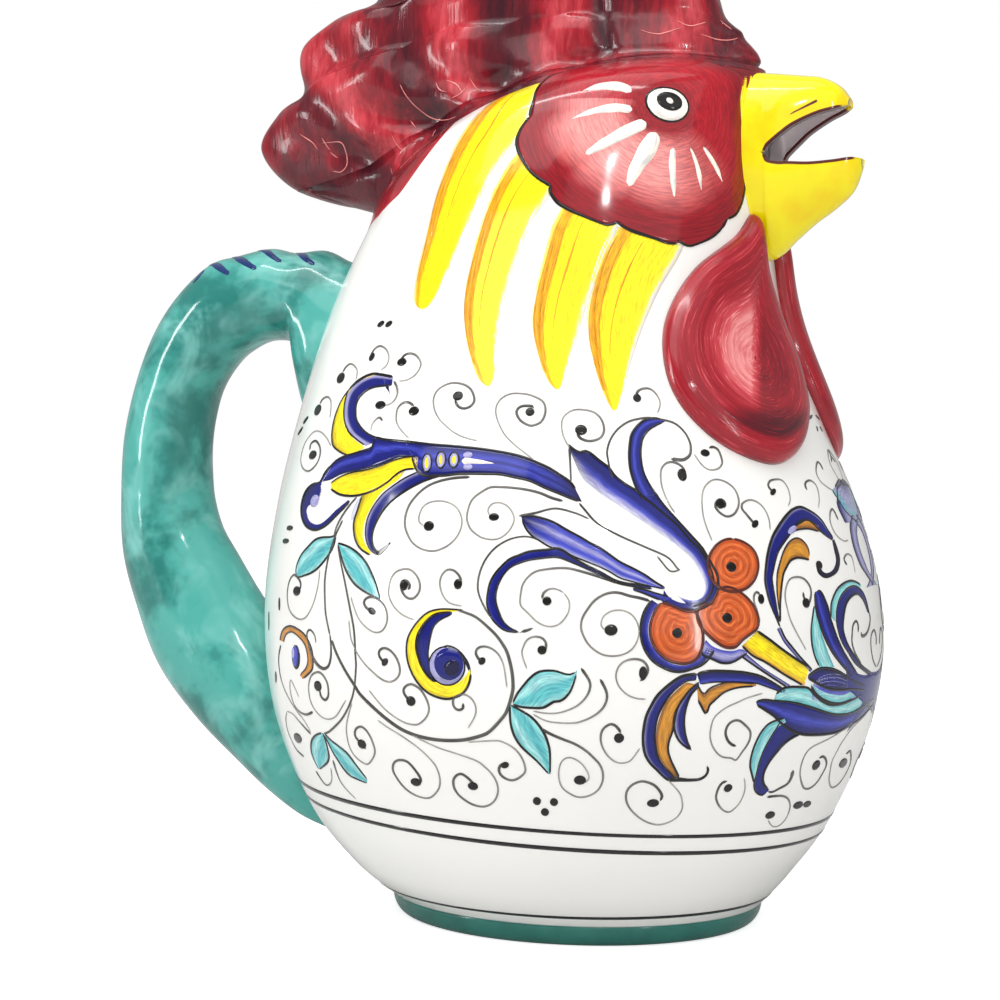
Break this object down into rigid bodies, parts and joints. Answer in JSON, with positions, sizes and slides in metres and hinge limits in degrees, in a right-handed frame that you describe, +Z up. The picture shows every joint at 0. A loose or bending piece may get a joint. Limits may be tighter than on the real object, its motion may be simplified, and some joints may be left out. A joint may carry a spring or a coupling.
{
  "type": "pitcher",
  "caption": "Rooster-shaped earthenware pitcher with a painted belly, an open comb for filling, an open beak for pouring, a looped handle and a low foot.",
  "frame": {"origin": "centre of the foot's flat resting face", "axes": "+Z up from the table, +X towards the rooster's beak, -X towards the handle, +Y towards the rooster's left side"},
  "size_m": [0.2034, 0.15, 0.2565],
  "materials": {
    "white_glaze": "gloss",
    "foot_glaze": "gloss",
    "green_glaze": "gloss",
    "red_glaze": "gloss",
    "yellow_glaze": "gloss"
  },
  "bodies": {
    "root": {"body": "white_glaze", "foot": "foot_glaze", "handle": "green_glaze", "comb": "red_glaze", "upper_beak": "yellow_glaze", "lower_beak": "yellow_glaze", "wattle_right": "red_glaze", "wattle_left": "red_glaze"}
  },
  "joints": []
}
